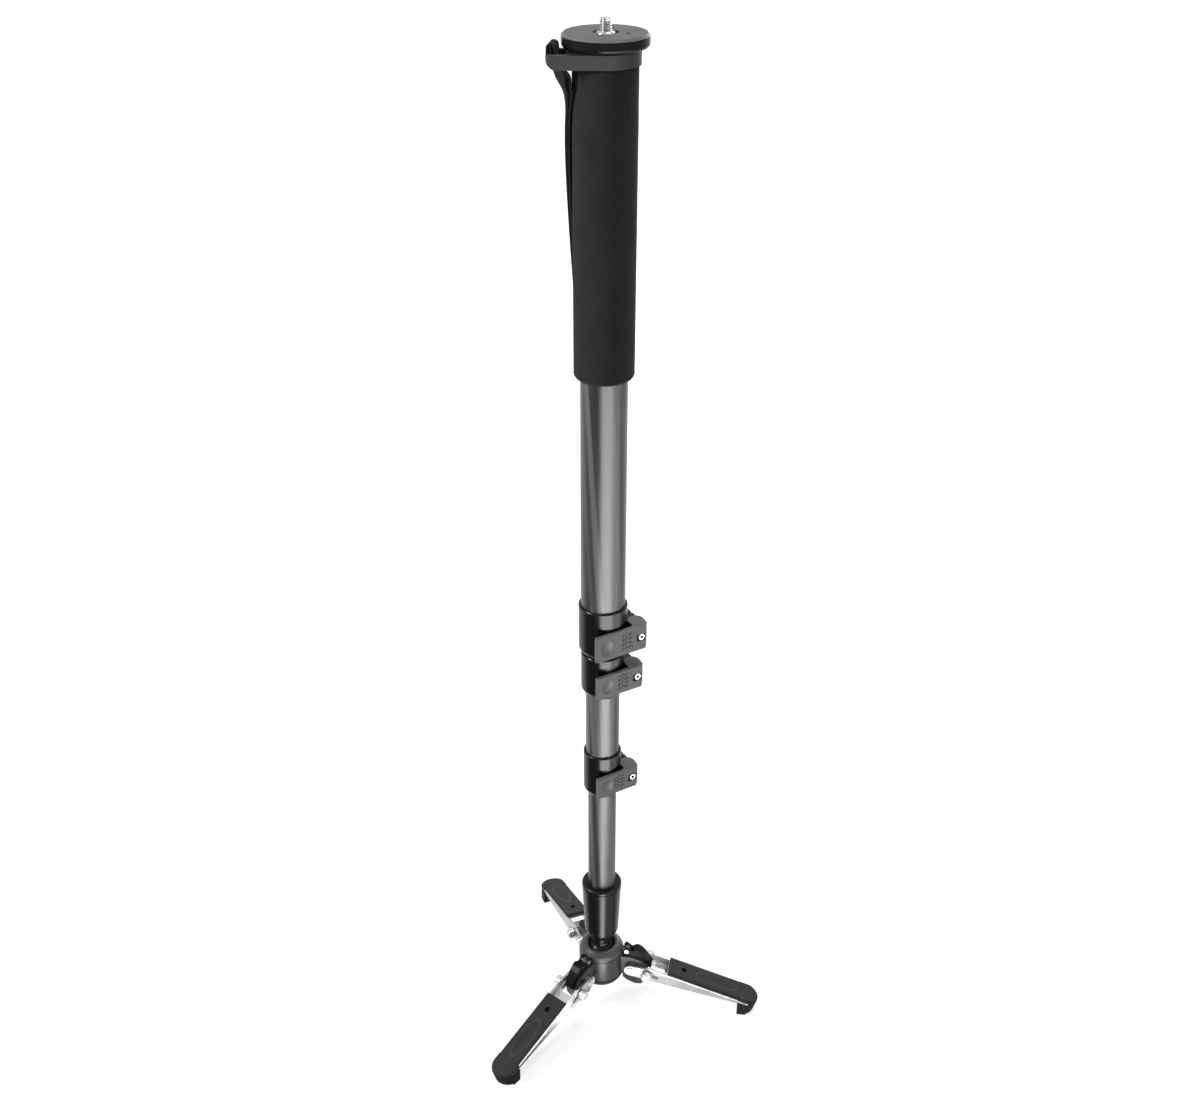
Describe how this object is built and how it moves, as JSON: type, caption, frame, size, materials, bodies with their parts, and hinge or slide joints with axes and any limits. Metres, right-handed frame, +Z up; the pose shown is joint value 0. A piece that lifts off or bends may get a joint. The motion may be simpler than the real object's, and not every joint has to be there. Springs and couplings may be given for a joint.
{
  "type": "camera monopod",
  "caption": "Telescoping camera monopod with flip-lever tube locks, foam grip, threaded camera plate, wrist strap and a folding three-foot ball base.",
  "frame": {"origin": "floor point under the column's axis, with the three feet open", "axes": "+Z up the column, +X along foot 1; feet 2 and 3 at 120 and 240 degrees"},
  "size_m": [0.1768, 0.2012, 0.6863],
  "materials": {
    "carbon_tube": "glossy carbon fibre",
    "black_metal": "gloss black anodised",
    "gunmetal": "gunmetal, satin",
    "bracket_metal": "dark grey, matt",
    "plate_metal": "grey top, black rim, fine blasted",
    "steel": "bright",
    "zinc_steel": "bright zinc",
    "lever_plastic": "matt, fine grain",
    "latch_plastic": "satin black",
    "inner_plastic": "moulded",
    "rubber": "matt",
    "foam": "closed-cell foam",
    "webbing": "ribbed webbing"
  },
  "bodies": {
    "base": {"hub": "gunmetal", "base_gasket": "rubber", "base_cap": "gunmetal", "foot_pivots": "steel", "foot_washers": "steel", "latch_pins": "steel"},
    "ball_race": {"ball_seat_lower": "inner_plastic", "ball_seat_upper": "inner_plastic"},
    "ball": {"ball_stem": "black_metal", "stem_retainer": "steel", "stem_screw": "steel"},
    "section_4": {"base_sleeve": "black_metal", "tube_4": "carbon_tube", "tube_4_guide": "inner_plastic"},
    "section_3": {"tube_3": "carbon_tube", "tube_3_guide": "inner_plastic", "collar_3": "black_metal", "collar_3_shim": "inner_plastic", "lever_3_pin": "steel", "lever_3_bolt": "steel", "lever_3_nut": "steel"},
    "lever_3": {"lever_3": "lever_plastic"},
    "section_2": {"tube_2": "carbon_tube", "tube_2_guide": "inner_plastic", "collar_2": "black_metal", "collar_2_shim": "inner_plastic", "lever_2_pin": "steel", "lever_2_bolt": "steel", "lever_2_nut": "steel"},
    "lever_2": {"lever_2": "lever_plastic"},
    "section_1": {"tube_1": "carbon_tube", "grip": "foam", "strap_bracket": "bracket_metal", "strap_pin": "steel", "wrist_strap": "webbing", "top_plate": "plate_metal", "camera_screw": "steel", "plate_set_screw": "steel", "collar_1": "black_metal", "collar_1_shim": "inner_plastic", "lever_1_pin": "steel", "lever_1_bolt": "steel", "lever_1_nut": "steel"},
    "lever_1": {"lever_1": "lever_plastic"},
    "foot_1": {"foot_1_channel": "zinc_steel", "foot_1_pad": "rubber"},
    "slider_1": {"foot_1_slider": "steel"},
    "latch_1": {"foot_1_latch": "latch_plastic"},
    "foot_2": {"foot_2_channel": "zinc_steel", "foot_2_pad": "rubber"},
    "slider_2": {"foot_2_slider": "steel"},
    "latch_2": {"foot_2_latch": "latch_plastic"},
    "foot_3": {"foot_3_channel": "zinc_steel", "foot_3_pad": "rubber"},
    "slider_3": {"foot_3_slider": "steel"},
    "latch_3": {"foot_3_latch": "latch_plastic"}
  },
  "joints": [
    {"name": "ball_swivel", "type": "hinge", "parent": "base", "child": "ball_race", "pos_m": [0, 0, 0.0385], "axis": [0, 0, 1], "continuous": true},
    {"name": "ball_tilt", "type": "hinge", "parent": "ball_race", "child": "ball", "pos_m": [0, 0, 0.0385], "axis": [0, -1, 0], "range_deg": [0, 15]},
    {"name": "column_spin", "type": "hinge", "parent": "ball", "child": "section_4", "pos_m": [0, 0, 0.06], "axis": [0, 0, 1], "continuous": true},
    {"name": "section_3_slide", "type": "slide", "parent": "section_4", "child": "section_3", "axis": [0, 0, 1], "range_m": [-0.06, 0.195]},
    {"name": "section_2_slide", "type": "slide", "parent": "section_3", "child": "section_2", "axis": [0, 0, 1], "range_m": [-0.046, 0.24]},
    {"name": "section_1_slide", "type": "slide", "parent": "section_2", "child": "section_1", "axis": [0, 0, 1], "range_m": [0, 0.3]},
    {"name": "lever_1_swing", "type": "hinge", "parent": "section_1", "child": "lever_1", "pos_m": [0.02034, 0.00475, 0.312], "axis": [0, 0, 1], "range_deg": [0, 95]},
    {"name": "lever_2_swing", "type": "hinge", "parent": "section_2", "child": "lever_2", "pos_m": [0.01823, 0.00495, 0.281], "axis": [0, 0, 1], "range_deg": [0, 95]},
    {"name": "lever_3_swing", "type": "hinge", "parent": "section_3", "child": "lever_3", "pos_m": [0.01611, 0.00515, 0.199], "axis": [0, 0, 1], "range_deg": [0, 95]},
    {"name": "foot_1_fold", "type": "hinge", "parent": "base", "child": "foot_1", "pos_m": [0.0222, 0, 0.0293], "axis": [0, 1, 0], "range_deg": [-105, 0]},
    {"name": "slider_1_pull", "type": "slide", "parent": "foot_1", "child": "slider_1", "axis": [0.9527, 0, -0.304], "range_m": [0, 0.0072], "stiffness_N_per_m": 300, "springref_m": -0.005},
    {"name": "latch_1_lift", "type": "hinge", "parent": "base", "child": "latch_1", "pos_m": [0.0188, 0, 0.0426], "axis": [0, -1, 0], "range_deg": [0, 12], "stiffness_Nm_per_rad": 0.05, "springref_deg": -17.19},
    {"name": "foot_2_fold", "type": "hinge", "parent": "base", "child": "foot_2", "pos_m": [-0.0111, 0.01923, 0.0293], "axis": [-0.866, -0.5, 0], "range_deg": [-105, 0]},
    {"name": "slider_2_pull", "type": "slide", "parent": "foot_2", "child": "slider_2", "axis": [-0.4763, 0.825, -0.304], "range_m": [0, 0.0072], "stiffness_N_per_m": 300, "springref_m": -0.005},
    {"name": "latch_2_lift", "type": "hinge", "parent": "base", "child": "latch_2", "pos_m": [-0.0094, 0.01628, 0.0426], "axis": [0.866, 0.5, 0], "range_deg": [0, 12], "stiffness_Nm_per_rad": 0.05, "springref_deg": -17.19},
    {"name": "foot_3_fold", "type": "hinge", "parent": "base", "child": "foot_3", "pos_m": [-0.0111, -0.01923, 0.0293], "axis": [0.866, -0.5, 0], "range_deg": [-105, 0]},
    {"name": "slider_3_pull", "type": "slide", "parent": "foot_3", "child": "slider_3", "axis": [-0.4763, -0.825, -0.304], "range_m": [0, 0.0072], "stiffness_N_per_m": 300, "springref_m": -0.005},
    {"name": "latch_3_lift", "type": "hinge", "parent": "base", "child": "latch_3", "pos_m": [-0.0094, -0.01628, 0.0426], "axis": [-0.866, 0.5, 0], "range_deg": [0, 12], "stiffness_Nm_per_rad": 0.05, "springref_deg": -17.19}
  ]
}
